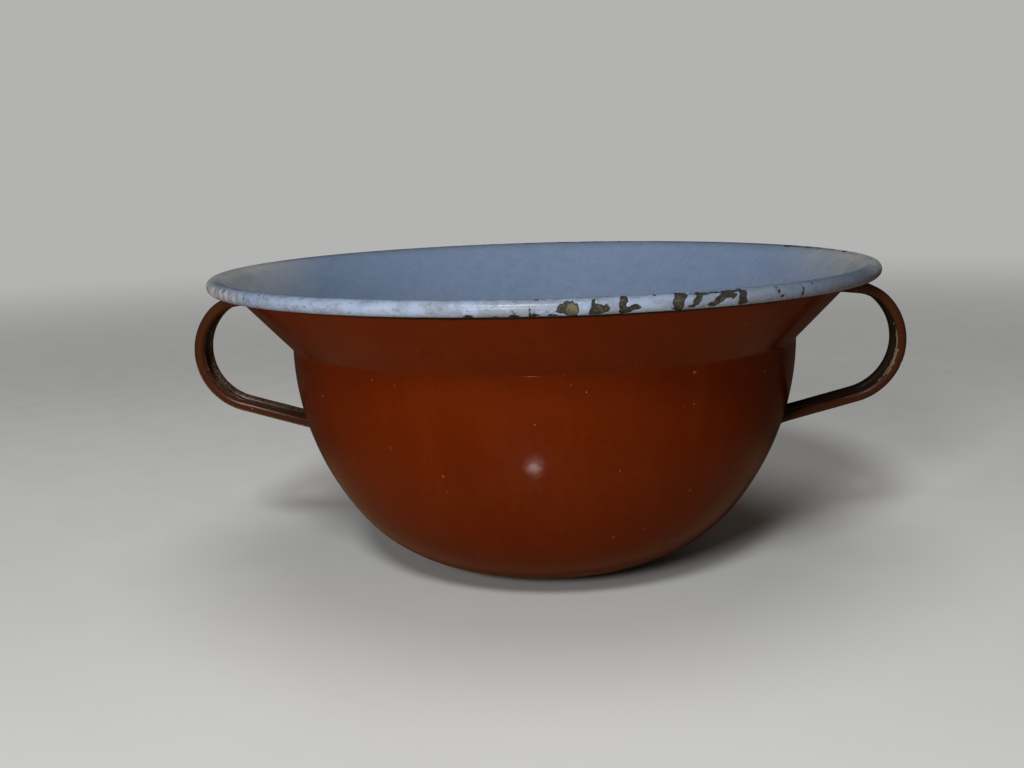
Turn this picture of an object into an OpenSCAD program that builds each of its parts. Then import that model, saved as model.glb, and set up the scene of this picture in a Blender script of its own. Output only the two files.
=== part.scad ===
// Round enamelled-steel bowl with two strap handles.
// Drawn steel shell with a rolled rim, blue enamel inside and over the rim,
// brown enamel outside and on the handles. Millimetres, +Z up, the origin is
// the centre of the flat base, and the handles lie along +X and -X.

/* [Bowl] */
// Outer diameter of the rolled rim
rim_d = 280; // [260:1:300]
// Diameter of the rolled bead, enamel included
bead_d = 5.7; // [5:0.1:7]
// Outer radius of the wall at the crease below the flared collar
crease_r = 106.7; // [100:0.5:112]
// Rounding of the crease on its outer side
crease_fillet = 3; // [2:0.5:6]
// Slope of the flared collar above the horizontal, in degrees
collar_slope = 47; // [40:1:55]
// Radius of the lip that turns the collar into the bead
lip_r = 11; // [9:0.5:14]
// Angle that the lip turns through, in degrees
lip_turn = 40; // [30:1:45]
// How far round the bead is curled, in degrees
curl_turn = 262; // [220:1:280]

/* [Lower wall] */
// Radius of the side, just below the crease
side_r = 113; // [105:1:125]
// Angle that the side turns through, in degrees
side_turn = 37.5; // [30:0.5:42]
// Radius of the shoulder between the side and the bottom
shoulder_r = 67.3; // [60:0.1:75]
// Angle that the shoulder turns through, in degrees
shoulder_turn = 43.3; // [38:0.1:46]
// Radius of the flat that the bowl stands on
flat_r = 28; // [24:1:32]

/* [Sheet and enamel] */
// Thickness of the steel sheet
steel_t = 0.9; // [0.7:0.1:1.2]
// Thickness of each coat of enamel
enamel_t = 0.25; // [0.2:0.05:0.4]

/* [Handles] */
// Radius of the handle's main bend, at the middle of the strap
bend_r = 24.6; // [22:0.1:26]
// Distance of the main bend's centre from the bowl's axis
bend_x = 125.7; // [124:0.1:128]
// Depth of the main bend's centre below the middle of the bead
bend_drop = 32.2; // [31:0.1:34]
// Radius of the tighter bend at the top of the handle
neck_r = 17; // [14:0.5:20]
// Angle on the main bend, above level, where the tighter bend begins
neck_start = 45; // [35:1:50]
// Slope of the upper arm, rising towards the bowl, in degrees
upper_slope = 6.5; // [3:0.5:10]
// Slope of the lower arm, falling towards the bowl, in degrees
lower_slope = 15.5; // [12:0.5:18]
// Width of the strap, without its enamel
strap_w = 15.5; // [13:0.5:18]
// Diameter of the strap's rolled edges, without the enamel
edge_d = 4.1; // [3.6:0.1:4.6]
// Thickness of the strap between its rolled edges
web_t = 1.1; // [0.9:0.1:1.6]

/* [Hidden] */

$fn = 96;
arc_step = 3;          // degrees between the points of an outline's arc
wall_t = steel_t + 2 * enamel_t;
inner_face = wall_t;   // offset of the blue surface from the brown one
bead_r = bead_d / 2;
rim_r = rim_d / 2;

// Lower wall, from the flat up to the crease, measured from the crease
side_c = [crease_r - side_r, 0];
side_end = side_c + side_r * unit(-side_turn);
shoulder_c = side_end - shoulder_r * unit(-side_turn);
bottom_turn = 90 - side_turn - shoulder_turn;
shoulder_end = shoulder_c + shoulder_r * unit(bottom_turn - 90);
bottom_r = (shoulder_end.x - flat_r) / cos(bottom_turn - 90);
bottom_c = shoulder_end - bottom_r * unit(bottom_turn - 90);
crease_z = bottom_r - bottom_c.y;

// Collar, lip and bead, measured from the middle of the bead
collar_a = 90 + collar_slope;          // direction that faces into the bowl
curl_a = collar_a - lip_turn;          // where the lip runs into the bead
lip_from_bead = -(lip_r - bead_r) * unit(curl_a);
bead_x = rim_r - bead_r;
lip_foot = [bead_x, 0] + lip_from_bead + (lip_r - wall_t) * unit(collar_a);
fillet_turn = 90 - collar_slope;
fillet_end = crease_fillet * [1 - cos(fillet_turn), sin(fillet_turn)];
collar_run = lip_foot.x - crease_r - fillet_end.x;
crease_drop = collar_run * tan(collar_slope) + fillet_end.y - lip_foot.y;
bead_z = crease_z + crease_drop;

// Handle bends, in the XZ plane
bend_c = [bend_x, bead_z - bend_drop];
neck_c = bend_c + (bend_r - neck_r) * unit(neck_start);
neck_end = 90 - upper_slope;
bend_start = lower_slope - 90;
upper_l = 12;          // upper arm's length, before the wall trims it
lower_l = 34;          // lower arm's length, before the wall trims it
edge_v = (strap_w - edge_d) / 2;
lap = 0.3;             // how far each stretch of the strap starts inside the last
slim = 0.02;           // and how much slimmer it is, so that the two fuse cleanly

brown = [0.36, 0.13, 0.06];
blue = [0.47, 0.56, 0.76];
bare_steel = [0.30, 0.27, 0.23];

function unit(a) = [cos(a), sin(a)];
function arc(c, r, from, to) =
  let (n = ceil(abs(to - from) / arc_step))
  [for (i = [0 : n]) c + r * unit(from + (to - from) * i / n)];
function reversed(p) = [for (i = [len(p) - 1 : -1 : 0]) p[i]];

// The wall's outline from the edge of the flat to the end of the curl, at a
// distance o inward from the brown surface
function wall_line(o) = concat(lower_wall_line(o), collar_line(o), curl_line(o));
function lower_wall_line(o) = concat(
  arc([bottom_c.x, bottom_c.y + crease_z], bottom_r - o, -90, bottom_turn - 90),
  arc([shoulder_c.x, shoulder_c.y + crease_z], shoulder_r - o, bottom_turn - 90, -side_turn),
  arc([side_c.x, crease_z], side_r - o, -side_turn, 0)
);
function collar_line(o) = concat(
  arc([crease_r + crease_fillet, crease_z], crease_fillet + o, 180, collar_a),
  arc([bead_x, bead_z] + lip_from_bead, lip_r - wall_t + o, collar_a, curl_a)
);
function curl_line(o) = arc([bead_x, bead_z], bead_r - wall_t + o, curl_a, curl_a - curl_turn);

module bowl_shell() {
  color(bare_steel)
    rotate_extrude()
      polygon(concat(
        [[0, 0], [flat_r, 0]],
        wall_line(enamel_t),
        reversed(wall_line(enamel_t + steel_t)),
        [[0, enamel_t + steel_t]]
      ));
}

module inside_enamel() {
  color(blue)
    rotate_extrude()
      polygon(concat(
        [[0, inner_face - enamel_t]],
        wall_line(inner_face - enamel_t),
        reversed(wall_line(inner_face)),
        [[0, inner_face]]
      ));
}

// Everything that lies within the wall at offset o, up to the lip
module bowl_filled(o) {
  rotate_extrude()
    polygon(concat(
      [[0, o]],
      lower_wall_line(o),
      collar_line(o),
      [[0, bead_z + bead_r]]
    ));
}

module outside_enamel() {
  color(brown)
    difference() {
      rotate_extrude()
        polygon(concat(
          lower_wall_line(0), collar_line(0),
          reversed(concat(lower_wall_line(enamel_t), collar_line(enamel_t)))
        ));
      for (turn = [0, 180])
        rotate([0, 0, turn]) strap(0);
    }
}

// Section of the strap: x points away from the loop's middle, y is its width
module strap_section(grow) {
  web_x = (edge_d / 2) - web_t;
  for (side = [-1, 1])
    translate([0, side * edge_v]) circle(d = edge_d + 2 * grow);
  translate([web_x - grow, -edge_v]) square([web_t + 2 * grow, 2 * edge_v]);
}

// One bend of the strap about centre c, from angle a to angle b above level
module bend(c, r, a, b, grow) {
  translate([c.x, 0, c.y])
    rotate([90, -a, 0])
      rotate_extrude(angle = b - a)
        translate([r, 0]) strap_section(grow);
}

// One straight arm that leaves the end of a bend along its tangent, where way
// is 1 to go on up round the loop and -1 to go back down it
module arm(c, r, a, l, way, grow) {
  translate([c.x, 0, c.y])
    rotate([90, -a, 0])
      translate([r, -lap * way, 0])
        rotate([-90 * way, 0, 0])
          linear_extrude(l + lap) strap_section(grow);
}

// The whole strap, before its ends are fitted to the wall
module strap(grow) {
  neck_lap = lap * 180 / (PI * neck_r);
  arm(bend_c, bend_r, bend_start, lower_l, -1, grow - slim);
  bend(bend_c, bend_r, bend_start, neck_start, grow);
  bend(neck_c, neck_r, neck_start - neck_lap, neck_end, grow - slim);
  arm(neck_c, neck_r, neck_end, upper_l, 1, grow - 2 * slim);
}

module handle() {
  color(bare_steel)
    difference() {
      strap(0);
      bowl_filled(enamel_t);
    }
}

module handle_enamel() {
  color(brown)
    difference() {
      strap(enamel_t);
      strap(0);
      bowl_filled(0);
    }
}

module right_handle() { handle(); }
module left_handle() { rotate([0, 0, 180]) handle(); }
module right_handle_enamel() { handle_enamel(); }
module left_handle_enamel() { rotate([0, 0, 180]) handle_enamel(); }

bowl_shell();
inside_enamel();
outside_enamel();
right_handle();
left_handle();
right_handle_enamel();
left_handle_enamel();
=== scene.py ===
"""Looks of the round two-handled enamelled bowl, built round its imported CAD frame.

The steel shell and the two steel straps stay as the CAD made them. The four enamel
coats are made again here as dense closed skins, so that chips, rubbed patches and
the unevenness of fired enamel are real shape. Lengths are in millimetres until a
mesh is made, and in metres in materials, lights and the floor. +Z is up, and the
handles lie along +X and -X.
"""
import math
import bpy
import numpy as np
from mathutils import Matrix, Vector


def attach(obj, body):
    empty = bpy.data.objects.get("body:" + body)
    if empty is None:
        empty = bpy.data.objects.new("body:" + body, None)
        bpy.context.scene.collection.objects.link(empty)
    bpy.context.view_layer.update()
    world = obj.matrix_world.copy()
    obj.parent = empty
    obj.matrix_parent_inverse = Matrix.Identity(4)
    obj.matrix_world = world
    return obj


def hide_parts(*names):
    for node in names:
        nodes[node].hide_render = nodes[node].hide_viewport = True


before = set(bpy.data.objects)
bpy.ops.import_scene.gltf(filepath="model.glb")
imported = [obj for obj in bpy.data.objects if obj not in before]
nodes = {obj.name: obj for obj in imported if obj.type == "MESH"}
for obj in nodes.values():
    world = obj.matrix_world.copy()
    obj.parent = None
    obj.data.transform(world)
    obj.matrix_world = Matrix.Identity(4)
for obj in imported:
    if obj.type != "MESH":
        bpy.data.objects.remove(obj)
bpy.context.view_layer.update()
MM = 0.001

# ---------------------------------------------------------------- the bowl's wall
RIM_R, BEAD_R, CREASE_R, CREASE_FILLET = 140.0, 2.85, 106.7, 3.0
COLLAR_SLOPE, LIP_R, LIP_TURN, CURL_TURN = 47.0, 11.0, 40.0, 262.0
SIDE_R, SIDE_TURN, SHOULDER_R, SHOULDER_TURN, FLAT_R = 113.0, 37.5, 67.3, 43.3, 28.0
STEEL_T, ENAMEL_T = 0.9, 0.25
WALL_T = STEEL_T + 2 * ENAMEL_T
BURIED = 0.03            # how far a coat's hidden side lies inside the steel
PROBE = 0.1              # how far apart two points are that give a surface's direction


def unit(a):
    return np.array([math.cos(math.radians(a)), math.sin(math.radians(a))])


side_c = np.array([CREASE_R - SIDE_R, 0.0])
shoulder_c = side_c + (SIDE_R - SHOULDER_R) * unit(-SIDE_TURN)
bottom_turn = 90 - SIDE_TURN - SHOULDER_TURN
shoulder_end = shoulder_c + SHOULDER_R * unit(bottom_turn - 90)
bottom_r = (shoulder_end[0] - FLAT_R) / math.cos(math.radians(bottom_turn - 90))
bottom_c = shoulder_end - bottom_r * unit(bottom_turn - 90)
crease_z = bottom_r - bottom_c[1]
collar_a = 90 + COLLAR_SLOPE
curl_a = collar_a - LIP_TURN
bead_x = RIM_R - BEAD_R
lip_from_bead = -(LIP_R - BEAD_R) * unit(curl_a)
lip_foot = np.array([bead_x, 0]) + lip_from_bead + (LIP_R - WALL_T) * unit(collar_a)
fillet_turn = math.radians(90 - COLLAR_SLOPE)
fillet_end = CREASE_FILLET * np.array([1 - math.cos(fillet_turn), math.sin(fillet_turn)])
crease_drop = ((lip_foot[0] - CREASE_R - fillet_end[0]) * math.tan(math.radians(COLLAR_SLOPE))
               + fillet_end[1] - lip_foot[1])
bead_z = crease_z + crease_drop
up = np.array([0.0, crease_z])
bead_c = np.array([bead_x, bead_z])

# Each stretch of the wall: centre, radius of the brown surface, angles, and whether
# going in from the brown surface makes the radius smaller (-1) or larger (1)
BOTTOM = (bottom_c + up, bottom_r, -90.0, bottom_turn - 90, -1)
SHOULDER = (shoulder_c + up, SHOULDER_R, bottom_turn - 90, -SIDE_TURN, -1)
SIDE = (side_c + up, SIDE_R, -SIDE_TURN, 0.0, -1)
FILLET = (np.array([CREASE_R + CREASE_FILLET, 0]) + up, CREASE_FILLET, 180.0, collar_a, 1)
LIP = (bead_c + lip_from_bead, LIP_R - WALL_T, collar_a, curl_a, 1)
CURL = (bead_c, BEAD_R - WALL_T, curl_a, curl_a - CURL_TURN, 1)


def on_arc(stretch, t, o):
    """Points a share t of the way along a stretch, at offset o in from the brown surface."""
    c, r, a, b, way = stretch
    ang = np.radians(a + (b - a) * t)
    rad = r + way * o
    return c[0] + rad * np.cos(ang), c[1] + rad * np.sin(ang)


def flat(t, o):
    """The same for the flat, from the middle outwards."""
    return FLAT_R * t, o + 0 * t


def collar(t, o):
    """The same for the straight of the collar, from the fillet up to the lip."""
    (x0, z0), (x1, z1) = on_arc(FILLET, 1.0, o), on_arc(LIP, 0.0, o)
    return x0 + (x1 - x0) * t, z0 + (z1 - z0) * t


def on_wall(stretch, t, o):
    """The same for any stretch, an arc or one of the two straight ones."""
    return stretch(t, o) if callable(stretch) else on_arc(stretch, t, o)


def inward(stretch, t, o):
    """The direction, as r and z, that goes in from the brown surface."""
    (r0, z0), (r1, z1) = on_wall(stretch, t, o), on_wall(stretch, t, o + PROBE)
    return (r1 - r0) / PROBE, (z1 - z0) / PROBE


# ------------------------------------------------------------------ noise and masks
# The last or last but one number in a noise call is its seed
def hashed(i, j, k, seed):
    """A number from -1 to 1 for each lattice point."""
    n = (i * 73856093) ^ (j * 19349663) ^ (k * 83492791) ^ (seed * 40503)
    n = (n ^ (n >> 13)) * 1274126177 & 0xFFFFFFFF
    n = (n ^ (n >> 16)) * 668265263 & 0xFFFFFFFF
    return n / 2147483647.5 - 1


def value_noise(x, y, z, size, seed):
    """Smooth noise from -1 to 1 whose lumps are about `size` millimetres across."""
    p = [np.asarray(v, float) / size for v in (x, y, z)]
    cell = [np.floor(v).astype(np.int64) for v in p]
    f = [v - c for v, c in zip(p, cell)]
    f = [v * v * (3 - 2 * v) for v in f]
    total = 0
    for di in (0, 1):
        for dj in (0, 1):
            for dk in (0, 1):
                w = ((f[0] if di else 1 - f[0]) * (f[1] if dj else 1 - f[1])
                     * (f[2] if dk else 1 - f[2]))
                total = total + w * hashed(cell[0] + di, cell[1] + dj, cell[2] + dk, seed)
    return total


OCTAVE_FALL = 1.7        # how much weaker each finer octave of the noise is


def fractal(x, y, z, size, seed, octaves=3):
    """Noise from -1 to 1 with finer lumps on its lumps."""
    total, weight = 0, 0
    for n in range(octaves):
        total = total + value_noise(x, y, z, size / 2 ** n, seed + n) / OCTAVE_FALL ** n
        weight += 1 / OCTAVE_FALL ** n
    return total / weight


def smooth(v, low, high):
    """An even step from 0 at low to 1 at high, where low may be the larger of the two."""
    t = np.clip((v - low) / (high - low), 0, 1)
    return t * t * (3 - 2 * t)


def turn_from(a, b):
    """Degrees from b round to a, between -180 and 180."""
    return (a - b + 180) % 360 - 180


# ------------------------------------------------------------- meshes from rings
def mesh_object(name, verts, faces, **layers):
    """A smooth-shaded object from points in millimetres, with float layers on its points."""
    mesh = bpy.data.meshes.new(name)
    mesh.from_pydata((np.asarray(verts) * MM).tolist(), [], faces)
    mesh.validate()
    mesh.update()
    mesh.polygons.foreach_set("use_smooth", np.ones(len(mesh.polygons), bool))
    for layer, values in layers.items():
        mesh.attributes.new(layer, "FLOAT", "POINT").data.foreach_set(
            "value", np.asarray(values, np.float32))
    ob = bpy.data.objects.new(name, mesh)
    bpy.context.scene.collection.objects.link(ob)
    return ob


def turned(name, rings, wrap, flip):
    """A skin of revolution. Each ring is (columns, x by column, z by column, layers), where
    columns may double or halve from ring to ring. wrap joins the last ring to the first;
    without it a point closes each end. flip turns the faces to look the other way."""
    verts, starts, layers = [], [], {}
    for n, r, z, own in rings:
        a = 2 * np.pi * np.arange(n) / n
        r, z = np.broadcast_to(r, (n,)), np.broadcast_to(z, (n,))
        starts.append(sum(len(v) for v in verts))
        verts.append(np.stack([r * np.cos(a), r * np.sin(a), z], 1))
        for key, values in own.items():
            layers.setdefault(key, []).append(np.broadcast_to(values, (n,)))
    faces = []
    pairs = list(zip(range(len(rings)), range(1, len(rings))))
    for k, m in pairs + ([(len(rings) - 1, 0)] if wrap else []):
        (n, a), (o, b) = (rings[k][0], starts[k]), (rings[m][0], starts[m])
        i = np.arange(min(n, o))
        j = (i + 1) % len(i)
        if n == o:
            quads = np.stack([a + i, a + j, b + j, b + i], 1)
        elif o == 2 * n:
            quads = np.stack([a + i, a + j, b + 2 * j, b + 2 * i + 1, b + 2 * i], 1)
        else:
            quads = np.stack([a + 2 * i, a + 2 * i + 1, a + 2 * j, b + j, b + i], 1)
        faces += quads.tolist()
    points = np.concatenate(verts)
    if not wrap:
        for k, turn in ((0, 1), (-1, -1)):
            n, s = rings[k][0], starts[k]
            points = np.concatenate([points, [[0, 0, float(np.mean(rings[k][2]))]]])
            for key in layers:
                layers[key].append(np.array([layers[key][k][0]]))
            pole = len(points) - 1
            faces += [[pole, s + (i + 1) % n, s + i][::turn] for i in range(n)]
    if flip:
        faces = [f[::-1] for f in faces]
    return mesh_object(name, points, faces, **{k: np.concatenate(v) for k, v in layers.items()})


# --------------------------------------------------------------- chips in the rim
# Each chip: azimuth on the rim; angle round the bead, where 0 faces out, 90 faces up and
# more goes on down the lip at the same millimetres to the degree; half its length along
# the rim and half its height round the bead, in mm; lean; its depth as a share of a full
# chip's; and its tone, from 0 for black to 1 for tan
CHIPS = [
    (-83.1, -22, 2.4, 3.2, 0.0, 1.0, 0.85), (-84.5, -6, 1.7, 2.2, 0.1, 1.0, 0.4),
    (-84.9, -24, 1.3, 0.6, -0.1, 1.0, 0.2), (-83.6, 26, 1.9, 0.9, 0.0, 1.0, 0.4),
    (-79.6, -26, 2.1, 2.5, 0.1, 1.0, 0.5), (-80.2, 14, 0.9, 2.2, 0.3, 1.0, 0.1),
    (-80.6, -36, 1.1, 1.5, 0.0, 1.0, 0.0), (-78.7, -12, 1.0, 1.3, 0.0, 1.0, 0.2),
    (-76.3, 6, 1.1, 3.8, 0.20, 1.0, 0.0), (-75.9, -42, 2.0, 1.4, 0.0, 1.0, 0.3),
    (-74.8, -14, 1.6, 1.0, 0.0, 1.0, 0.0), (-72.2, 18, 0.8, 1.3, 0.2, 0.45, 0.0),
    (-68.4, 4, 2.1, 4.2, 0.0, 1.0, 0.5), (-67.9, 40, 1.8, 1.5, 0.2, 1.0, 0.2),
    (-68.6, -40, 1.9, 1.0, 0.0, 1.0, 0.0), (-65.2, 52, 4.6, 0.55, 0.0, 0.9, 0.55),
    (-62.6, 56, 5.2, 0.45, 0.0, 0.9, 0.55), (-60.0, 56, 4.4, 0.5, 0.0, 0.9, 0.2),
    (-66.0, 6, 1.3, 2.9, 0.35, 1.0, 0.2), (-66.5, -34, 1.7, 0.8, 0.0, 1.0, 0.1),
    (-62.3, 4, 1.8, 2.6, 1.2, 1.0, 0.0), (-61.2, 30, 2.4, 1.4, 0.5, 1.0, 0.1),
    (-63.6, -26, 1.3, 0.7, 0.4, 1.0, 0.1), (-60.3, 16, 1.2, 0.8, 0.4, 0.9, 0.2),
    (-58.7, 8, 1.5, 3.5, 0.0, 1.0, 0.1), (-58.3, -32, 1.2, 1.3, 0.0, 1.0, 0.5),
    (-52.2, 12, 0.7, 0.7, 0.0, 0.85, 0.3), (-51.6, -20, 0.9, 0.7, 0.0, 0.8, 0.4),
    (-52.5, 48, 0.6, 0.5, 0.0, 0.7, 0.3), (-47.3, -6, 0.8, 3.4, 0.0, 0.53, 0.0),
    (-137.2, 12, 0.9, 0.8, 0.3, 0.55, 0.1), (-122.9, -6, 2.2, 0.6, 0.0, 0.48, 0.0),
    (-109.5, -28, 1.8, 0.5, -0.6, 0.60, 0.0), (-101.8, -36, 3.0, 1.2, 0.0, 0.35, 0.0),
    (-98.6, 14, 4.2, 1.8, 0.0, 0.33, 0.0), (-97.0, -62, 1.3, 1.1, 0.0, 1.0, 0.0),
    (-90.8, -64, 1.4, 0.9, 0.0, 1.0, 0.0), (-88.7, -52, 0.25, 1.7, 0.0, 1.0, 0.0),
    (-87.9, -58, 1.8, 0.9, 0.0, 1.0, 0.0), (-87.7, 72, 0.9, 0.6, 0.0, 0.8, 0.3),
    (-85.6, -60, 2.2, 0.7, 0.0, 1.0, 0.0), (-93.4, -66, 1.0, 0.6, 0.0, 0.9, 0.0),
    (-86.2, -30, 3.4, 1.5, 0.0, 0.37, 0.0), (-90.4, -24, 3.0, 1.0, 0.1, 0.36, 0.0),
    (32.4, 118, 2.4, 1.5, 0.0, 1.0, 0.2), (30.6, 104, 3.0, 0.9, 0.0, 1.0, 0.1),
    (26.6, 104, 3.4, 1.0, 0.0, 1.0, 0.4), (22.8, 102, 2.6, 0.9, 0.2, 0.9, 0.3),
    (18.0, 100, 1.8, 0.7, 0.0, 0.8, 0.3), (12.5, 104, 2.2, 1.2, 0.0, 1.0, 0.2),
    (81.0, 104, 7.0, 0.8, 0.0, 0.9, 0.5), (88.0, 102, 3.5, 0.7, 0.0, 0.9, 0.4),
    (75.5, 100, 2.6, 0.8, 0.0, 0.9, 0.5), (96.0, 103, 3.0, 0.6, 0.0, 0.8, 0.3),
    (118.0, -20, 2.2, 1.8, 0.2, 1.0, 0.7), (152.0, 10, 1.4, 2.2, -0.3, 1.0, 0.3),
    (48.0, -6, 1.6, 1.2, 0.0, 1.0, 0.6), (101.5, 30, 1.0, 0.8, 0.0, 1.0, 0.2),
]
SMALL_CHIPS = 60
CHIP_DEPTH = 0.23        # of a full chip, almost down through the coat
CHIP_EDGE = 1.4          # how many mm a chip's edge takes to go all the way down
rng = np.random.default_rng(7)
for _ in range(SMALL_CHIPS):
    size = 0.32 + 0.5 * rng.random() ** 2
    CHIPS.append((rng.uniform(-180, 180), rng.uniform(-70, 95), size,
                  size * rng.uniform(0.6, 1.4), rng.uniform(-0.5, 0.5),
                  rng.uniform(0.55, 1.0), rng.uniform(0, 0.6)))


def chipping(azimuth, around, x, y, z):
    """How far inside a chip each point lies, 0.5 being its edge, and the chip's tone."""
    inside, tone = np.zeros_like(x), np.zeros_like(x)
    ragged = fractal(x, y, z, 2.2, 40, 4)
    sway = 0.5 * value_noise(x, y, z, 1.7, 51)
    for az, at, long, high, lean, depth, own in CHIPS:
        u = turn_from(azimuth, az) * math.radians(RIM_R)
        near = np.abs(u) < long + high * abs(lean) + 3
        if not near.any():
            continue
        w = (around[near] - at) * math.radians(BEAD_R)
        least = min(long, high)
        u = u[near] - lean * w + min(1, least) * sway[near]
        away = (np.hypot(u / long, w / high) - 1) * least + min(1, least) * ragged[near]
        mine = depth * np.clip(0.5 - away / CHIP_EDGE, 0, 1)
        tone[near] = np.where(mine > inside[near], own, tone[near])
        inside[near] = np.maximum(inside[near], mine)
    return inside, tone


# ------------------------------------------------------------------ the blue coat
BEAD_COLUMNS, WALL_COLUMNS = 2304, 288
COLUMNS_PER_MM = 2.2     # about how many columns a ring has to each mm of its radius
RUB_AZIMUTH, RUB_AROUND = 208, 5    # the middle of the scratched patch on the rim


def ring_columns(r):
    """Columns for a ring of radius r: WALL_COLUMNS, or a half or quarter of it and so on."""
    n = WALL_COLUMNS
    while n > 12 and n / 2 >= r * COLUMNS_PER_MM:
        n //= 2
    return n


def blue_columns(shape, t, r):
    """Columns for a ring of the shown side, which is finest on the bead, where the chips are."""
    if shape is CURL:
        return BEAD_COLUMNS
    if shape is LIP:
        return BEAD_COLUMNS // 2 if t < 0.5 else BEAD_COLUMNS
    if shape is collar and t > 0.7:
        return BEAD_COLUMNS // 4
    return ring_columns(r)


def scratching(azimuth, around, x, y, z):
    """How much each point of the rim is scratched, near the left handle."""
    ends = (smooth(np.abs(turn_from(azimuth, RUB_AZIMUTH)), 16, 7)
            * smooth(np.abs(around - RUB_AROUND), 70, 25))
    strokes = value_noise(x * 1.6, y * 1.6, z * 0.4, 1.6, 77)
    return np.clip(ends * (0.8 + 0.6 * strokes), 0, 1)


def blue_coat():
    """Inside, rolled rim and all, down to where the curl ends behind the bead."""
    face, back = WALL_T, WALL_T - ENAMEL_T - BURIED
    stretches = [(flat, 8), (BOTTOM, 6), (SHOULDER, 22), (SIDE, 30), (FILLET, 4), (collar, 12),
                 (LIP, 12), (CURL, 31)]
    rings = []
    for shape, rows in stretches:
        for t in np.arange(1 if shape is flat else 0, rows) / rows:
            r0, z0 = on_wall(shape, t, face)
            n = blue_columns(shape, t, r0)
            a = 2 * np.pi * np.arange(n) / n
            x, y, z = r0 * np.cos(a), r0 * np.sin(a), np.full(n, float(z0))
            lift = 0.10 * fractal(x, y, z, 34, 3, 2)
            if r0 > 100:
                lift = lift + 0.025 * value_noise(x, y, z, 5.5, 9)
            inside, tone, rub = np.zeros(n), np.zeros(n), np.zeros(n)
            if shape is LIP or shape is CURL:
                lip_left = math.degrees(LIP_R * math.radians(LIP_TURN) * (1 - t) / BEAD_R)
                around = curl_a - CURL_TURN * t if shape is CURL else curl_a + lip_left
                inside, tone = chipping(np.degrees(a), np.full(n, around), x, y, z)
                deep = smooth(inside, 0.42, 0.70)
                even = 0.35 if shape is CURL else 1
                lift = lift * even * (1 - deep) - deep * CHIP_DEPTH
                rub = scratching(np.degrees(a), around, x, y, z)
            nr, nz = inward(shape, t, face)
            rings.append((n, r0 + lift * nr, z0 + lift * nz,
                          {"chip": inside, "tone": tone, "rub": rub}))
    hidden = {"chip": 1.0, "tone": 0.0, "rub": 0.0}
    r1, z1 = on_arc(CURL, 1.0, face)
    rings.append((BEAD_COLUMNS, r1, z1, {**hidden, "chip": 0.0}))
    for fewer in (1, 2, 4):
        r1, z1 = on_arc(CURL, 1.0 - 0.01 * fewer, back)
        rings.append((BEAD_COLUMNS // fewer, r1, z1, hidden))
    for shape, rows in [(CURL, 14), (LIP, 3), (collar, 4), (FILLET, 2), (SIDE, 12), (SHOULDER, 10),
                        (BOTTOM, 3), (flat, 6)]:
        for i in range(1 if shape is CURL else 0, rows):
            r1, z1 = on_wall(shape, 1 - i / rows, back)
            rings.append((ring_columns(r1), r1, z1, hidden))
    return turned("blue_coat", rings, wrap=False, flip=True)


# ----------------------------------------------------------------- the brown coat
# Grit and burst bubbles in the brown enamel: azimuth, height, radius and depth in mm
PITS = [
    (-141.0, 83.5, 1.0, 0.16), (-144.5, 83.0, 0.8, 0.12), (-117.5, 92.0, 0.9, 0.14),
    (-94.3, 88.0, 1.3, -0.10), (-82.0, 93.5, 1.0, 0.12), (-56.5, 94.0, 1.4, 0.14),
    (-121.0, 67.5, 1.1, 0.14), (-118.5, 70.0, 0.8, 0.12), (-109.2, 58.0, 1.0, 0.16),
    (-53.0, 47.0, 1.0, 0.16), (-70.5, 30.5, 1.1, 0.10), (-101.0, 40.0, 0.9, 0.10),
]
OTHER_PITS = 60
for _ in range(OTHER_PITS):
    PITS.append((rng.uniform(-40, 220), rng.uniform(14, 118), rng.uniform(0.7, 1.3),
                 rng.uniform(-0.10, 0.15)))


SHADE_BAND_Z = 119.1          # height where the coat turns black below the bead: painted shade under the rim, where the coat also thins
SHADE_BAND_FADE = 0.4
BODY_COLUMNS = 768


def body_columns(r):
    """Columns for a ring of radius r, fewer towards the bottom."""
    return BODY_COLUMNS if r > 70 else BODY_COLUMNS // 2 if r > 40 else BODY_COLUMNS // 4


def pitting(azimuth, r, z):
    """How deep the pits go at each point of a ring, and how far inside one each point is."""
    sunk, inside = np.zeros_like(azimuth), np.zeros_like(azimuth)
    for az, height, wide, depth in PITS:
        if abs(height - z) < 3 * wide:
            u = turn_from(azimuth, az) * math.radians(r)
            dent = np.exp(-(u ** 2 + (z - height) ** 2) / (0.5 * wide ** 2))
            sunk = sunk + depth * dent
            inside = np.maximum(inside, dent * (1 if depth > 0 else 0.3))
    return sunk, inside


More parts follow.
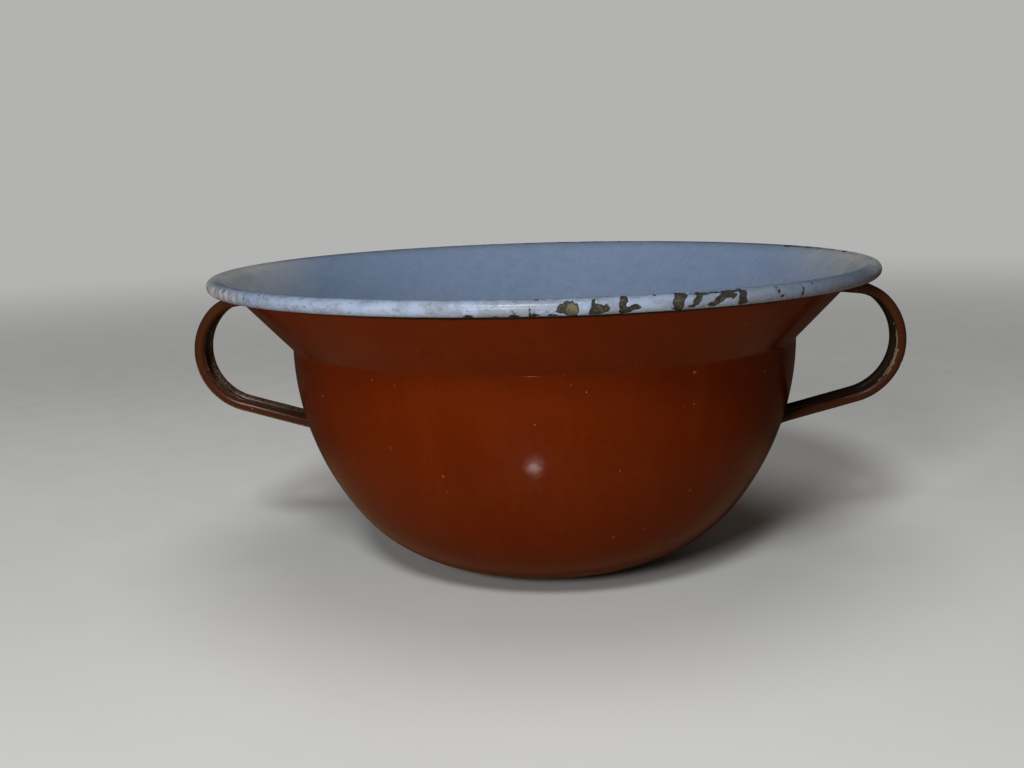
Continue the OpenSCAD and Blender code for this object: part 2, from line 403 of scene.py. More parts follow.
def brown_coat():
    """Outside, from the edge of the bare flat up to the end of the lip under the bead."""
    face, back = 0.0, ENAMEL_T + BURIED
    stretches = [(BOTTOM, 10), (SHOULDER, 42), (SIDE, 62), (FILLET, 5), (collar, 20), (LIP, 7)]
    rings = []
    for shape, rows in stretches:
        for t in np.arange(rows + (shape is LIP)) / rows:
            r0, z0 = on_wall(shape, t, face)
            n = body_columns(r0)
            a = 2 * np.pi * np.arange(n) / n
            x, y, z = r0 * np.cos(a), r0 * np.sin(a), np.full(n, float(z0))
            # the pit layer also pales the paint in each pit, partly as a painted glint
            sunk, pit = pitting(np.degrees(a), r0, z0)
            lift = 0.09 * fractal(x, y, z, 42, 21, 2) + 0.02 * value_noise(x, y, z, 7, 25) - sunk
            # the coat thins to nothing at the flat and under the bead
            fade = smooth(r0, FLAT_R, FLAT_R + 3) if shape is BOTTOM else 1.0
            if shape is LIP:
                fade = 1 - smooth(t, 0.6, 1.0)
            # painted shade: a dark band under the bead, where the coat also thins, with a ragged
            # lower edge
            uneven = (0.14 * value_noise(x, y, z, 6, 31) + 0.12 * value_noise(x, y, z, 2, 32)
                      + 0.30 * value_noise(x, y, z, 45, 33))
            burnt = smooth(z0 + uneven, SHADE_BAND_Z - SHADE_BAND_FADE, SHADE_BAND_Z + SHADE_BAND_FADE)
            nr, nz = inward(shape, t, face)
            rings.append((n, r0 - lift * fade * nr, z0 - lift * fade * nz,
                          {"chip": pit, "burnt": burnt}))
    hidden = {"chip": 1.0, "burnt": 1.0}
    for fewer in (1, 2, 4):
        r1, z1 = on_arc(LIP, 1.0 - 0.04 * (fewer - 1), back)
        rings.append((BODY_COLUMNS // fewer, r1, z1, hidden))
    for shape, rows in [(LIP, 3), (collar, 4), (FILLET, 2), (SIDE, 14), (SHOULDER, 10),
                        (BOTTOM, 4)]:
        for i in range(1 if shape is LIP else 0, rows + (shape is BOTTOM)):
            r1, z1 = on_wall(shape, 1 - i / rows, back)
            rings.append((BODY_COLUMNS // 4, r1, z1, hidden))
    return turned("brown_coat", rings, wrap=True, flip=False)


# ------------------------------------------------------------------- the handles
BEND_R, BEND_X, BEND_DROP = 24.6, 125.7, 32.2
NECK_R, NECK_START, UPPER_SLOPE, LOWER_SLOPE = 17.0, 45.0, 6.5, 15.5
STRAP_W, EDGE_R, WEB_T = 15.5, 2.05, 1.1
edge_y = STRAP_W / 2 - EDGE_R
bend_c = np.array([BEND_X, bead_z - BEND_DROP])
neck_c = bend_c + (BEND_R - NECK_R) * unit(NECK_START)
neck_end, bend_start = 90 - UPPER_SLOPE, LOWER_SLOPE - 90
WEB_FILLET = 0.8         # in the corners between the web and the rolled edges
ROOT_DEPTH = 0.6         # how far the ends of a sleeve reach into the bowl's wall
FOOT_FLARE, FOOT_REACH = 0.9, 1.6   # the enamel pools where a strap meets the wall
LONGEST_ARM, ARM_STEPS = 60.0, 601  # how far and in how many steps an arm seeks the wall

# A sleeve's rings: shares of the way from the bend to the wall along its lower arm and its
# upper one, and angles along its two bends
LOWER_SHARES, UPPER_SHARES = np.linspace(1, 0, 40)[:-1], np.linspace(0, 1, 20)[1:]
BEND_ANGLES = np.linspace(bend_start, NECK_START, 70)
NECK_ANGLES = np.linspace(NECK_START, neck_end, 18)[1:]
ring_angles = np.concatenate([np.full(len(LOWER_SHARES), bend_start), BEND_ANGLES, NECK_ANGLES,
                              np.full(len(UPPER_SHARES), neck_end)])

# Pale flecks sunk bare on the right strap: share of the way up it, and half its length
FLECKS = [(0.475, 0.009), (0.437, 0.016), (0.530, 0.008)]


def strap_outline(grow, fillet):
    """The strap's section: out from the loop's middle along x, across its width along y."""
    r, web = EDGE_R + grow, EDGE_R - WEB_T - grow
    centre = np.array([web - fillet, 0.0])
    centre[1] = edge_y - math.sqrt((r + fillet) ** 2 - centre[0] ** 2)
    turn = math.degrees(math.atan2(centre[1] - edge_y, centre[0])) % 360
    half = [(r, y) for y in np.linspace(0, edge_y, 6)[:-1]]
    half += [(r * math.cos(a), edge_y + r * math.sin(a))
             for a in np.radians(np.linspace(0, turn, 26))]
    half += [tuple(centre + fillet * unit(a)) for a in np.linspace(turn - 180, 0, 8)[1:]]
    half += [(web, y) for y in np.linspace(centre[1], 0, 4)[1:]]
    half = np.array(half)
    other = half[1:-1][::-1] * [1, -1]
    return np.concatenate([half, other])


def section_turn():
    """Degrees round each rolled edge from its outer face, 180 being its inner crest."""
    line = strap_outline(ENAMEL_T, WEB_FILLET)
    a = np.degrees(np.arctan2(np.abs(line[:, 1]) - edge_y, line[:, 0])) % 360
    return np.where(line[:, 0] > EDGE_R + ENAMEL_T - 1e-6, 0, a)


wall_t = np.linspace(0, 1, 120)
wall_line = [np.concatenate(v) for v in zip(*[
    on_wall(s, wall_t, ROOT_DEPTH) for s in (BOTTOM, SHOULDER, SIDE, FILLET, collar, LIP)])]


def in_wall(q):
    """Which points lie ROOT_DEPTH or more inside the bowl's brown surface."""
    return np.hypot(q[:, 0], q[:, 1]) < np.interp(q[:, 2], wall_line[1], wall_line[0])


def reach_wall(p, along):
    """How far each point goes along a direction until it is inside the bowl's wall."""
    low, high = np.zeros(len(p)), np.zeros(len(p))
    steps = np.linspace(0, LONGEST_ARM, ARM_STEPS)
    for i in range(len(p)):
        k = int(np.argmax(in_wall(p[i] + steps[:, None] * along)))
        low[i], high[i] = steps[max(k - 1, 0)], steps[k]
    for _ in range(20):
        mid = (low + high) / 2
        inside = in_wall(p + mid[:, None] * along)
        low, high = np.where(inside, low, mid), np.where(inside, mid, high)
    return low


def strap_skin(grow, fillet, foot_flare):
    """One skin of a sleeve, ring by ring from its lower foot to its upper one, and the
    directions out of its section."""
    line = strap_outline(grow, fillet)
    to = np.roll(line, -1, 0) - np.roll(line, 1, 0)
    normal = np.stack([to[:, 1], -to[:, 0]], 1)
    normal /= np.linalg.norm(normal, axis=1)[:, None]

    def station(c, r, a, shift=0.0, flare=0.0):
        out, tangent = unit(a), np.array([-unit(a)[1], unit(a)[0]])
        section = line + normal * np.asarray(flare)[..., None]
        placed = c + (r + section[:, :1]) * out + np.asarray(shift)[..., None] * tangent
        return np.stack([placed[:, 0], section[:, 1], placed[:, 1]], 1)

    def arm(c, r, a, shares, way):
        """Rings along the arm at a bend's end. way is 1 on up round the loop, or else -1."""
        out = unit(a)
        lengths = reach_wall(station(c, r, a), way * np.array([-out[1], 0, out[0]]))
        made = []
        for t in shares:
            gap = lengths * (1 - t)
            made.append(station(c, r, a, way * lengths * t,
                                foot_flare * np.exp(-gap / FOOT_REACH)))
        return made

    rings = arm(bend_c, BEND_R, bend_start, LOWER_SHARES, -1)
    rings += [station(bend_c, BEND_R, a) for a in BEND_ANGLES]
    rings += [station(neck_c, NECK_R, a) for a in NECK_ANGLES]
    rings += arm(neck_c, NECK_R, neck_end, UPPER_SHARES, 1)
    return np.array(rings), normal


def strap_marks(side, worn, near, along, turn, x, y, z):
    """Where a sleeve is bare, where it is scuffed but not through, which on the left strap is
    partly painted light and a painted highlight, and where it is dark, partly painted shade. near
    is the roll that faces -Y, along the share of the way up, turn the degrees round a roll."""
    # sunk to about the steel, and paler, along the inner crest of the near roll
    speck = fractal(x, y, z, 4.5, 60 + side, 2)
    bare = (worn * near * smooth(along, 0.24, 0.36) * smooth(along, 0.68, 0.56)
            * smooth(smooth(np.abs(turn - 142), 34, 4) + speck, 0.62, 1.00))
    if side > 0:
        for at, long in FLECKS:
            fleck = np.exp(-((along - at) / long) ** 2) * smooth(np.abs(turn - 140), 34, 22)
            bare = np.maximum(bare, near * fleck * smooth(speck, -0.9, -0.3))
    ticks = smooth(fractal(x, y, z, 3.2, 90 + side, 2), 0.62, 0.74) * 0.8
    ticks = ticks * smooth(along, 0.06, 0.10) * smooth(along, 0.95, 0.9)
    bare = np.clip(np.maximum(bare, ticks), 0, 1)
    # the channel inside the strap is painted dark: painted shade in the recess, and the coat lying
    # thin over its black ground
    dark = smooth(turn + 14 * fractal(x, y, z, 6, 80 + side, 2), 118, 156)
    scuff = np.zeros_like(bare)
    if side < 0:
        # on the left strap the channel is painted a lighter brown grey, partly scuffing and partly
        # painted light where little light reaches it, and the near roll's outer crest gets a pale
        # line, partly a scuff and partly a painted highlight
        deeper = smooth(turn, 138, 168)
        scuff = (near * smooth(np.abs(turn - 48), 17, 5) * smooth(along, 0.60, 0.50)
                 * (0.60 + 0.08 * speck))
        scuff = np.maximum(scuff, (0.52 + 0.12 * speck) * deeper)
        dark = 0.6 * (dark - deeper)
    return bare, scuff, dark


def sleeve_faces(rows, cols):
    """Faces of two skins, one inside the other, and of the ends that join them."""
    def strip(a, b, order):
        return [[a + j, a + (j + 1) % cols, b + (j + 1) % cols, b + j][::order]
                for j in range(cols)]

    lining = rows * cols
    faces = []
    for skin, order in ((0, 1), (lining, -1)):
        for i in range(rows - 1):
            faces += strip(skin + i * cols, skin + (i + 1) * cols, order)
    for i, order in ((0, -1), (rows - 1, 1)):
        faces += strip(i * cols, lining + i * cols, order)
    return faces


def sleeve(name, side, worn):
    """Enamel on one strap. side is 1 at +X and -1 at -X; worn is how much of it is rubbed."""
    shown, normal = strap_skin(ENAMEL_T, WEB_FILLET, FOOT_FLARE)
    lining, _ = strap_skin(-BURIED, WEB_FILLET + ENAMEL_T + BURIED, 0)
    rows, cols = shown.shape[:2]
    x, y, z = (shown[..., i] * (side if i < 2 else 1) for i in range(3))
    bare, scuff, dark = strap_marks(side, worn, side * shown[..., 1] < 0,
                                    np.arange(rows)[:, None] / (rows - 1),
                                    section_turn()[None, :], x, y, z)
    lift = 0.05 * fractal(x, y, z, 11, 70 + side, 2) - (ENAMEL_T + BURIED) * bare * 0.9
    # the normals lie in each ring's own plane, so turn them with the path
    turned_by = np.radians(ring_angles)[:, None]
    nx = normal[None, :, 0] * np.cos(turned_by)
    nz = normal[None, :, 0] * np.sin(turned_by)
    ny = np.broadcast_to(normal[None, :, 1], nx.shape)
    shown = shown + lift[..., None] * np.stack([nx, ny, nz], 2)
    points = np.concatenate([shown.reshape(-1, 3), lining.reshape(-1, 3)]) * [side, side, 1]
    none = np.zeros(rows * cols)
    # the chip layer carries bare marks and scuffs, the scuffs on the left strap partly painted
    # light and a painted highlight; the other layer carries the dark channel, partly painted shade
    return mesh_object(name, points, sleeve_faces(rows, cols),
                       chip=np.concatenate([np.maximum(bare, scuff).ravel(), none]),
                       burnt=np.concatenate([dark.ravel(), none]))


# --------------------------------------------------------------------- materials
class Paint:
    """A node material with a Principled shader, and short names for the nodes it uses."""

    def __init__(self, name, **constants):
        self.mat = bpy.data.materials.new(name)
        self.mat.use_nodes = True
        self.tree = self.mat.node_tree
        self.shader = self.tree.nodes["Principled BSDF"]
        for socket, value in constants.items():
            self.shader.inputs[socket.replace("_", " ")].default_value = value
        self.place = self.node("ShaderNodeTexCoord").outputs["Object"]

    def node(self, kind, inputs=(), **settings):
        made = self.tree.nodes.new(kind)
        for key, value in settings.items():
            setattr(made, key, value)
        for key, value in dict(inputs).items():
            if isinstance(value, bpy.types.NodeSocket):
                self.tree.links.new(value, made.inputs[key])
            else:
                made.inputs[key].default_value = value
        return made

    def link(self, value, socket):
        self.tree.links.new(value, self.shader.inputs[socket])

    def math(self, operation, a, b=0.0):
        return self.node("ShaderNodeMath", {0: a, 1: b}, operation=operation).outputs[0]

    def times(self, a, b):
        return self.math("MULTIPLY", a, b)

    def noise(self, scale, detail=3.0, rough=0.55, stretch=(1, 1, 1), seed=0.0):
        spot = self.node("ShaderNodeMapping", {"Vector": self.place, "Scale": stretch,
                                               "Location": (seed, seed * 0.7, -seed)})
        made = self.node("ShaderNodeTexNoise", {"Vector": spot.outputs[0], "Scale": scale,
                                                "Detail": detail, "Roughness": rough})
        return made.outputs["Fac"]

    def cells(self, scale, seed=0.0):
        spot = self.node("ShaderNodeMapping", {"Vector": self.place,
                                               "Location": (seed, -seed, seed * 0.5)})
        return self.node("ShaderNodeTexVoronoi", {"Vector": spot.outputs[0],
                                                  "Scale": scale}).outputs["Distance"]

    def band(self, value, low, high, to_low=0.0, to_high=1.0):
        """An even step from to_low where the value is low to to_high where it is high."""
        return self.node("ShaderNodeMapRange", {"Value": value, "From Min": low, "From Max": high,
                                                "To Min": to_low, "To Max": to_high},
                         interpolation_type="SMOOTHSTEP").outputs["Result"]

    def mix(self, fac, a, b):
        made = self.node("ShaderNodeMix", data_type="RGBA")
        for key, value in (("Factor_Float", fac), ("A_Color", a), ("B_Color", b)):
            socket = next(s for s in made.inputs if s.identifier == key)
            if isinstance(value, bpy.types.NodeSocket):
                self.tree.links.new(value, socket)
            else:
                socket.default_value = value if key == "Factor_Float" else (*value, 1.0)
        return next(s for s in made.outputs if s.identifier == "Result_Color")

    def over(self, colour, mask, amount, tint):
        """The colour with a tint laid over it by a mask, at a share of full strength."""
        return self.mix(self.times(mask, amount), colour, tint)

    def layer(self, name):
        """One of the float layers on the mesh's points."""
        return self.node("ShaderNodeAttribute", attribute_name=name).outputs["Fac"]

    def bump(self, height, distance):
        made = self.node("ShaderNodeBump", {"Height": height, "Distance": distance,
                                            "Strength": 1.0})
        self.link(made.outputs["Normal"], "Normal")


# Where the blue coat changes, as bands in metres from none to full: by the distance from the plane
# x = 0, from the axis, along x and below the rim's top. Across the rim's front and back a band
# places a painted highlight, along x one places painted shade, and at both ends the grey is partly
# a painted reflection.
ENDS_WEAR_AND_REFLECTION, PAINTED_HIGHLIGHT_BAND, TIPS = (0.106, 0.136), (0.110, 0.030), (0.122, 0.134)
ON_RIM, PAINTED_SHADE_BAND = (0.1338, 0.1356), (0.035, 0.115)
RIM_TOP = (bead_z + BEAD_R) * MM
NEAR_TOP = (RIM_TOP - 0.0036, RIM_TOP - 0.0012)


def chipped(p, colour):
    """The colour with the rim's chips in it, and how far inside a chip each place is."""
    # a chip's own edge is finer than the mesh, so noise breaks up the last of its outline
    tooth = p.math("ADD", p.times(p.noise(1500, 3, 0.7, seed=22.0), 0.55),
                   p.times(p.noise(560, 3, 0.6, seed=23.0), 0.45))
    chip = p.math("ADD", p.layer("chip"), p.band(tooth, 0.30, 0.70, -0.17, 0.17))
    # a chip's floor: a dark crust, tan in the middle of some chips, with rusty flecks
    crust = p.band(p.noise(1100, 4, 0.8, seed=25.0), 0.42, 0.60)
    bare = p.mix(crust, (0.013, 0.014, 0.013), (0.050, 0.044, 0.032))
    tan = p.math("ADD", p.layer("tone"),
                 p.band(p.noise(800, 4, 0.7, seed=24.0), 0.35, 0.65, -0.22, 0.22))
    tan = p.times(tan, p.band(p.layer("chip"), 0.45, 0.92))
    bare = p.mix(p.band(tan, 0.36, 0.98), bare, (0.118, 0.107, 0.062))
    fleck = p.band(p.noise(700, 3, 0.6, seed=26.0), 0.60, 0.68)
    bare = p.over(bare, fleck, 0.6, (0.120, 0.070, 0.056))
    # from the edge in: greyed blue, the black ground coat, and the floor
    colour = p.mix(p.band(chip, 0.36, 0.46), colour, (0.120, 0.135, 0.165))
    colour = p.mix(p.band(chip, 0.44, 0.52), colour, (0.016, 0.019, 0.024))
    return p.mix(p.band(chip, 0.56, 0.72), colour, bare), chip


def blue_enamel():
    p = Paint("blue_enamel", IOR=1.5, Specular_IOR_Level=0.4)
    large = p.band(p.noise(26, 3, 0.6), 0.36, 0.64)
    fine = p.band(p.noise(170, 4, 0.65, seed=3.0), 0.35, 0.66)
    speck = p.band(p.noise(900, 2, 0.5, seed=5.0), 0.42, 0.66)
    colour = p.mix(large, (0.255, 0.330, 0.490), (0.225, 0.318, 0.475))
    colour = p.over(colour, fine, 0.55, (0.300, 0.372, 0.520))
    colour = p.over(colour, speck, 0.28, (0.185, 0.230, 0.360))
    spot = p.node("ShaderNodeSeparateXYZ", {0: p.place})
    x, y, z = spot.outputs[0], spot.outputs[1], spot.outputs[2]
    aside = p.math("ABSOLUTE", x)
    # both ends by the handles are a dull grey, partly worn and partly a painted reflection
    patchy = p.band(p.noise(60, 4, 0.6, seed=6.0), 0.30, 0.70, 0.55, 1.0)
    colour = p.over(colour, p.band(aside, *ENDS_WEAR_AND_REFLECTION), patchy, (0.520, 0.520, 0.515))
    # the rolled rim is a darker, greyer blue than the inside in patches, and it is dirtier
    level = p.node("ShaderNodeCombineXYZ", {0: x, 1: y})
    radius = p.node("ShaderNodeVectorMath", {0: level.outputs[0]}, operation="LENGTH")
    rim = p.band(radius.outputs["Value"], *ON_RIM)
    pale = p.band(p.noise(330, 5, 0.7, seed=8.0), 0.34, 0.66, 0.35, 1.0)
    colour = p.over(colour, rim, pale, (0.218, 0.272, 0.395))
    # a lighter blue across the rim's front and back: a painted highlight
    painted_highlight = p.times(p.band(aside, *PAINTED_HIGHLIGHT_BAND), rim)
    colour = p.over(colour, painted_highlight, 0.55, (0.295, 0.355, 0.470))
    # a darker blue along the rim towards +X: painted shade
    painted_shade = p.times(p.band(x, *PAINTED_SHADE_BAND), rim)
    colour = p.over(colour, painted_shade, 0.5, (0.105, 0.145, 0.225))
    worn = p.times(p.band(p.noise(95, 6, 0.75, seed=10.0), 0.44, 0.58), rim)
    colour = p.over(colour, worn, 0.8, (0.185, 0.215, 0.270))
    # the top of the rim at both ends is a paler grey, partly worn and partly a painted reflection
    tip = p.times(p.band(aside, *TIPS), p.band(z, *NEAR_TOP))
    colour = p.over(colour, tip, patchy, (0.560, 0.555, 0.540))
    grime = p.band(p.noise(300, 6, 0.8, stretch=(1, 1, 1.6), seed=12.0), 0.52, 0.64)
    colour = p.over(colour, p.times(grime, rim), 0.7, (0.120, 0.126, 0.145))
    scuff = p.band(p.noise(280, 5, 0.75, stretch=(1, 1, 0.3), seed=20.0), 0.42, 0.58)
    rub = p.layer("rub")
    colour = p.mix(rub, colour, p.mix(scuff, (0.185, 0.190, 0.195), (0.520, 0.525, 0.530)))
    colour, chip = chipped(p, colour)
    p.link(colour, "Base Color")
    gloss = p.band(p.noise(60, 4, 0.6, seed=30.0), 0.30, 0.70, 0.20, 0.34)
    gloss = p.math("ADD", gloss, p.times(rim, 0.06))
    broken = p.math("MAXIMUM", p.band(chip, 0.40, 0.50), p.math("MAXIMUM", rub, grime))
    p.link(p.math("MAXIMUM", gloss, p.times(broken, 0.75)), "Roughness")
    p.bump(p.math("ADD", p.noise(330, 3, 0.5, seed=40.0),
                  p.times(p.noise(1500, 2, 0.5, seed=41.0), 0.3)), 0.00010)
    return p.mat


def brown_enamel(name, shine, gloss, dull, burnt, worn):
    """shine is how much it mirrors, gloss its roughness from and to, dull the strength of its dull
    blotches; the next colour goes where it is dark under the bead and in the strap channels,
    painted shade where the coat is also thin, and worn is the colour of pits and rubbed places,
    which is partly a painted glint on the pits and, on the left strap's scuffs, partly painted
    light and a painted highlight."""
    p = Paint(name, IOR=1.5, Specular_IOR_Level=shine)
    large = p.band(p.noise(16, 3, 0.55), 0.34, 0.66)
    streak = p.band(p.noise(90, 4, 0.6, stretch=(1, 1, 0.11), seed=2.0), 0.42, 0.68)
    fine = p.band(p.noise(420, 4, 0.65, seed=4.0), 0.36, 0.66)
    colour = p.mix(large, (0.081, 0.0094, 0.0006), (0.090, 0.0108, 0.0008))
    colour = p.over(colour, streak, 0.25, (0.112, 0.0165, 0.0022))
    colour = p.over(colour, fine, 0.25, (0.062, 0.0068, 0.0006))
    # fine grit: a few light grains, partly painted glints, and more dark ones
    light = p.times(p.band(p.cells(260, seed=6.0), 0.10, 0.03),
                    p.band(p.noise(150, 1, 0.5, seed=7.0), 0.60, 0.66))
    colour = p.over(colour, light, 0.7, (0.26, 0.15, 0.10))
    dark = p.times(p.band(p.cells(340, seed=9.0), 0.13, 0.05),
                   p.band(p.noise(120, 1, 0.5, seed=10.0), 0.52, 0.60))
    colour = p.over(colour, dark, 0.6, (0.030, 0.007, 0.004))
    ragged = p.band(p.noise(1100, 3, 0.7, seed=12.0), 0.3, 0.7, -0.16, 0.16)
    chip = p.math("ADD", p.layer("chip"), ragged)
    blotch = p.band(p.noise(95, 4, 0.65, seed=18.0), 0.36, 0.64, dull, dull * 0.75)
    colour = p.mix(blotch, colour, (0.030, 0.0155, 0.0070))
    # dark under the bead and inside the straps, painted shade where the coat is also thin; worn
    # where it is pitted or rubbed, partly painted glints on the pits and painted light and a
    # painted highlight on the left strap's scuffs
    colour = p.mix(p.band(p.layer("burnt"), 0.25, 0.75), colour, burnt)
    colour = p.over(colour, p.band(chip, 0.35, 0.80), 0.8, worn)
    p.link(colour, "Base Color")
    smear = p.band(p.noise(70, 5, 0.65, stretch=(1, 1, 0.3), seed=14.0), 0.35, 0.70, *gloss)
    p.link(p.math("MAXIMUM", smear, p.times(chip, 0.6)), "Roughness")
    p.bump(p.math("ADD", p.noise(210, 2, 0.5, seed=16.0),
                  p.times(p.noise(1300, 2, 0.5, seed=17.0), 0.22)), 0.00007)
    return p.mat


def old_steel():
    p = Paint("old_steel", Metallic=0.0, IOR=1.5, Specular_IOR_Level=0.4)
    crust = p.band(p.noise(420, 5, 0.7), 0.36, 0.64)
    rust = p.band(p.noise(160, 4, 0.65, seed=3.0), 0.46, 0.66)
    pale = p.band(p.noise(650, 4, 0.6, seed=6.0), 0.50, 0.66)
    colour = p.mix(crust, (0.030, 0.026, 0.018), (0.105, 0.092, 0.058))
    colour = p.over(colour, rust, 0.65, (0.115, 0.058, 0.026))
    colour = p.over(colour, pale, 0.6, (0.230, 0.205, 0.145))
    p.link(colour, "Base Color")
    p.link(p.band(crust, 0.0, 1.0, 0.85, 0.6), "Roughness")
    p.bump(p.math("ADD", p.noise(900, 4, 0.7, seed=9.0), crust), 0.00012)
    return p.mat


BACKDROP = (0.450, 0.450, 0.440)
# Bands of distance from the bowl's axis, in metres: where the floor fades into the
# backdrop, and where the table top that the bowl mirrors gets darker
FADE, TABLE = (0.45, 1.7), (0.12, 0.22)
TABLE_LIGHT = (0.50, 0.37, 0.24)
TABLE_NEAR, TABLE_FAR = (0.32, 0.20, 0.115), (0.075, 0.05, 0.03)


def pale_floor():
    """Pale to the eye; in the light it gives back it is as dull and warm as a table top."""
    p = Paint("pale_floor", Specular_IOR_Level=0.25)
    tone = p.band(p.noise(3.0, 3, 0.5), 0.3, 0.7)
    ray = p.node("ShaderNodeLightPath")
    seen = ray.outputs["Is Camera Ray"]
    far = p.node("ShaderNodeVectorMath", {0: p.place}, operation="LENGTH").outputs["Value"]
    mirrored = p.mix(p.band(far, *TABLE), TABLE_NEAR, TABLE_FAR)
    table = p.mix(ray.outputs["Is Glossy Ray"], TABLE_LIGHT, mirrored)
    p.link(p.mix(seen, table, p.mix(tone, (0.74, 0.73, 0.71), (0.78, 0.77, 0.75))),
           "Base Color")
    p.link(p.band(p.noise(40, 3, 0.6, seed=2.0), 0.3, 0.7, 0.40, 0.48), "Roughness")
    p.bump(p.noise(700, 2, 0.5), 0.00003)
    # far out the floor turns into the backdrop's own tone, so that no horizon shows
    glow = p.node("ShaderNodeEmission", {"Color": (*BACKDROP, 1), "Strength": 1.0})
    both = p.node("ShaderNodeMixShader", {0: p.times(p.band(far, *FADE), seen),
                                          1: p.shader.outputs[0], 2: glow.outputs[0]})
    p.tree.links.new(both.outputs[0], p.tree.nodes["Material Output"].inputs["Surface"])
    return p.mat


# ------------------------------------------------------------------ the pieces
blue, steel = blue_enamel(), old_steel()
# in each, the last but one colour is painted shade where the coat is thin, and the last the worn
# colour, partly painted glint and painted light
brown = brown_enamel("brown_enamel", 0.16, (0.11, 0.20), 0.0,
                     (0.010, 0.006, 0.003), (0.190, 0.085, 0.045))
strap_brown = brown_enamel("strap_enamel", 0.30, (0.26, 0.38), 0.75,
                           (0.013, 0.008, 0.005), (0.175, 0.130, 0.092))
pieces = {}
for piece, paint, slot, node in (
    (blue_coat(), blue, "blue_enamel", "inside_enamel"),
    (brown_coat(), brown, "brown_enamel", "outside_enamel"),
    (sleeve("right_sleeve", 1, 1.0), strap_brown, "brown_enamel", "right_handle_enamel"),
    (sleeve("left_sleeve", -1, 0.35), strap_brown, "brown_enamel", "left_handle_enamel"),
):
    piece.data.materials.append(paint)
    pieces[piece.name] = piece
    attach(piece, "root")
    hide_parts(node)
BARE = ("bowl_shell", "right_handle", "left_handle")
for name in BARE:
    nodes[name].data.materials.clear()
    nodes[name].data.materials.append(steel)

# ------------------------------------------------------------- floor and light
FLOOR_R, FLOOR_SIDES = 9.0, 96
FLOOR_Z = -0.0001        # just clear of the modelled underside
ring = [(FLOOR_R * math.cos(a), FLOOR_R * math.sin(a), FLOOR_Z)
        for a in np.linspace(0, 2 * math.pi, FLOOR_SIDES, endpoint=False)]
floor_mesh = bpy.data.meshes.new("floor")
floor_mesh.from_pydata(ring, [], [list(range(FLOOR_SIDES))])
floor = bpy.data.objects.new("floor", floor_mesh)
bpy.context.scene.collection.objects.link(floor)
floor.data.materials.append(pale_floor())


def area_light(name, place, target, size, power, colour=(1, 1, 1), mirrored=False, only=()):
    """A round soft light, of a size in metres and a power in watts. It is mirrored or not in
    what it lights, which is everything or only a few objects."""
    lamp = bpy.data.lights.new(name, "AREA")
    lamp.shape, lamp.size, lamp.energy, lamp.color = "DISK", size, power, colour
    ob = bpy.data.objects.new(name, lamp)
    bpy.context.scene.collection.objects.link(ob)
    ob.location = place
    ob.rotation_mode = "QUATERNION"
    ob.rotation_quaternion = (Vector(target) - Vector(place)).to_track_quat("-Z", "Y")
    ob.visible_glossy, ob.visible_camera = mirrored, False
    if only:
        lit = bpy.data.collections.new(name + "_lights")
        for piece in only:
            lit.objects.link(piece)
        ob.light_linking.receiver_collection = lit
    return ob


def above(azimuth, elevation, distance):
    """A place seen from the bowl. Azimuth 0 is straight in front and right is positive."""
    a, e = math.radians(azimuth), math.radians(elevation)
    return Vector((math.sin(a) * math.cos(e), -math.cos(a) * math.cos(e), math.sin(e))) * distance


MIDDLE = (0, 0, 0.08)
bowl = [*pieces.values(), *(nodes[name] for name in BARE)]
area_light("key", above(-15, 14, 0.60), MIDDLE, 0.20, 2.15, (1.0, 0.985, 0.96), only=bowl)
area_light("low", above(-19, 22, 2.4), MIDDLE, 0.5, 22, only=[floor])
area_light("top", (0, -0.1, 2.2), MIDDLE, 1.6, 12, only=[floor])
area_light("lamp", above(-7, 43, 1.6), MIDDLE, 0.30, 10.8, (0.93, 0.98, 1.0), mirrored=True)
area_light("back", above(168, 12, 2.4), MIDDLE, 1.2, 24, (0.95, 0.97, 1.0), only=bowl)
# two lights that show only as reflections: a soft round spot on the belly, and a streak
# along the rim
spot = area_light("spot", (-0.003, -0.156, 0.004), (0.0, -0.102, 0.063), 0.008, 0.0045,
                  (1.0, 0.90, 0.86), mirrored=True, only=[pieces["brown_coat"]])
glint = area_light("glint", above(-8, 11, 1.6), MIDDLE, 0.24, 6, mirrored=True,
                   only=[pieces["blue_coat"]])
for lamp in (spot, glint):
    lamp.visible_diffuse = False

AMBIENT, AMBIENT_STRENGTH = (1.0, 0.94, 0.84), 0.05


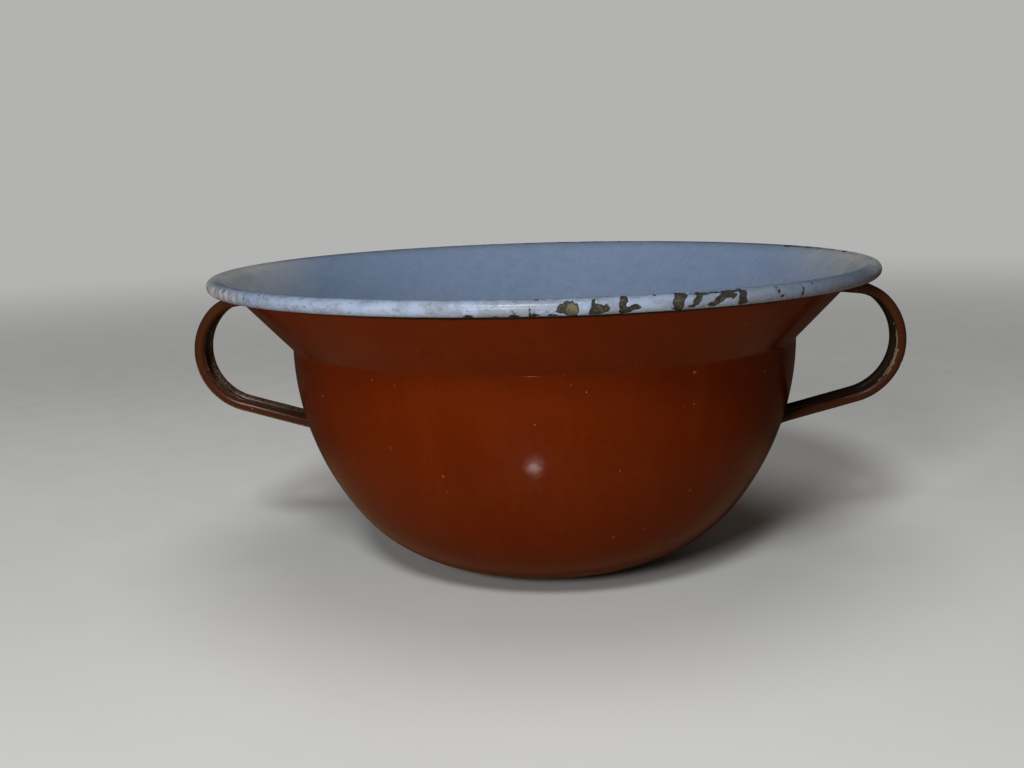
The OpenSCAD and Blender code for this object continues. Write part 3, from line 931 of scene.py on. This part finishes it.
def set_world():
    """The backdrop's tone to the camera, and a faint warm light to everything else."""
    world = bpy.data.worlds.new("world")
    bpy.context.scene.world = world
    world.use_nodes = True
    tree = world.node_tree
    ambient, backdrop = tree.nodes["Background"], tree.nodes.new("ShaderNodeBackground")
    for made, colour, strength in ((ambient, AMBIENT, AMBIENT_STRENGTH), (backdrop, BACKDROP, 1.0)):
        made.inputs["Color"].default_value = (*colour, 1)
        made.inputs["Strength"].default_value = strength
    ray, both = tree.nodes.new("ShaderNodeLightPath"), tree.nodes.new("ShaderNodeMixShader")
    tree.links.new(ray.outputs["Is Camera Ray"], both.inputs[0])
    tree.links.new(ambient.outputs[0], both.inputs[1])
    tree.links.new(backdrop.outputs[0], both.inputs[2])
    tree.links.new(both.outputs[0], tree.nodes["World Output"].inputs["Surface"])


set_world()
bpy.context.scene.view_settings.view_transform = "Standard"

# --------------------------------------------------------------------- camera
ORBIT, DISTANCE, HEIGHT = 3.0, 536.1, bead_z + 46.9   # degrees round from the front, mm
PITCH, YAW, ROLL = 10.16, -1.51, -1.71                # degrees
cam_data = bpy.data.cameras.new("camera")
cam_data.sensor_width, cam_data.lens = 36.0, 43.95    # mm
cam_data.clip_start, cam_data.clip_end = 0.02, 50     # metres
cam = bpy.data.objects.new("camera", cam_data)
bpy.context.scene.collection.objects.link(cam)
heading = math.radians(ORBIT - YAW)
ahead = Vector((-math.sin(heading) * math.cos(math.radians(PITCH)),
                math.cos(heading) * math.cos(math.radians(PITCH)), -math.sin(math.radians(PITCH))))
level = ahead.cross(Vector((0, 0, 1))).normalized()
upward = level.cross(ahead)
c, s = math.cos(math.radians(ROLL)), math.sin(math.radians(ROLL))
right, top = level * c + upward * s, upward * c - level * s
place = Vector((math.sin(math.radians(ORBIT)) * DISTANCE,
                -math.cos(math.radians(ORBIT)) * DISTANCE, HEIGHT)) * MM
cam.matrix_world = Matrix((
    (right.x, top.x, -ahead.x, place.x), (right.y, top.y, -ahead.y, place.y),
    (right.z, top.z, -ahead.z, place.z), (0, 0, 0, 1)))
bpy.context.scene.camera = cam
